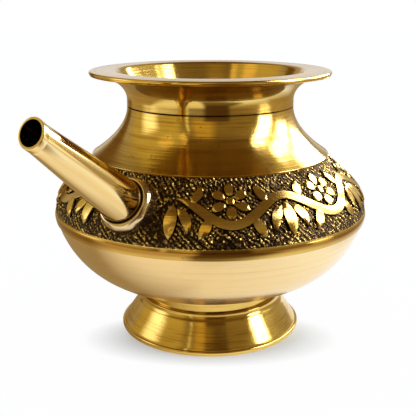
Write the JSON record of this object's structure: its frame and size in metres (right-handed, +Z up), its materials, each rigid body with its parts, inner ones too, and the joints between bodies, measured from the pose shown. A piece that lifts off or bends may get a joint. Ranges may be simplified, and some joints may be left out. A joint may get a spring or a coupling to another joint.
{
  "type": "spouted water pot",
  "caption": "Squat round-bellied brass water pot with a flat rim flange, an ornamented shoulder band, a flared hollow foot and a straight slanting spout for pouring a thin stream.",
  "frame": {"origin": "on the pot's turned axis, at the level of the table that the foot stands on", "axes": "+Z up along the turned axis, -Y towards the spout, +X to the right of someone who looks at the spout from the front"},
  "size_m": [0.1368, 0.1811, 0.1143],
  "materials": {
    "polished_brass": "polished, with fine lathe lines",
    "pale_brass": "bright polished",
    "antiqued_brass": "polished relief on a darkened punched ground",
    "braze_metal": "dull cast braze"
  },
  "bodies": {
    "root": {"neck_collar": "polished_brass", "shoulder": "antiqued_brass", "bowl": "pale_brass", "foot_ring": "polished_brass", "spout_tube": "polished_brass", "spout_collar": "polished_brass", "neck_braze_ring": "braze_metal", "belly_braze_ring": "braze_metal", "foot_braze_ring": "braze_metal", "spout_braze_ring": "braze_metal"}
  },
  "joints": []
}
